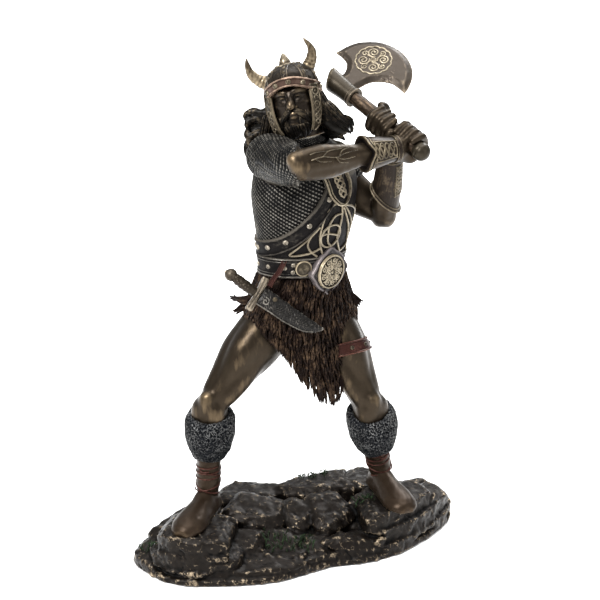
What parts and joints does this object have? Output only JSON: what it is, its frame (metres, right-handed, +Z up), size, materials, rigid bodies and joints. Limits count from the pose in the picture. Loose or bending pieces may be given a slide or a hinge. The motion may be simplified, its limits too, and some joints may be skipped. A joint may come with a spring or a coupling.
{
  "type": "viking warrior statue",
  "caption": "Cast figurine of a viking warrior in a horned helmet who swings a two-handed axe, standing on an oval base of stacked rocks",
  "frame": {"origin": "Middle of the base's flat underside, on the surface the statue stands on.", "axes": "+Z up. -Y is the front, the side that the warrior's chest turns towards. +X is to the right of a viewer in front."},
  "size_m": [0.1828, 0.1225, 0.2896],
  "materials": {
    "bronze": "dark brown bronze patina, dry-brushed with gold-bronze",
    "bronze_skin": "olive-brown bronze, satin",
    "mail": "charcoal mail brushed with pewter",
    "leather_brown": "red-brown leather look, satin",
    "pale_brass": "pale brass ornaments, rubbed bright",
    "copper_band": "copper-pink metal bands, rubbed bright",
    "fur_brown": "dark brown carved fur with red-brown tips",
    "fleece_dark": "blue-black carved fleece with pale flecks",
    "hair": "dark bronze hair with golden tips",
    "horn": "bone-coloured bronze, satin",
    "boot": "olive-brown leather look",
    "axe_metal": "warm pewter-bronze, rubbed bright at the edges",
    "haft": "carved wood grain in bronze finish",
    "dark_rock": "dark grey-brown carved rock with bright edges"
  },
  "bodies": {
    "root": {"warrior": "bronze", "battle_axe": "axe_metal", "rock_base": "dark_rock"}
  },
  "joints": []
}
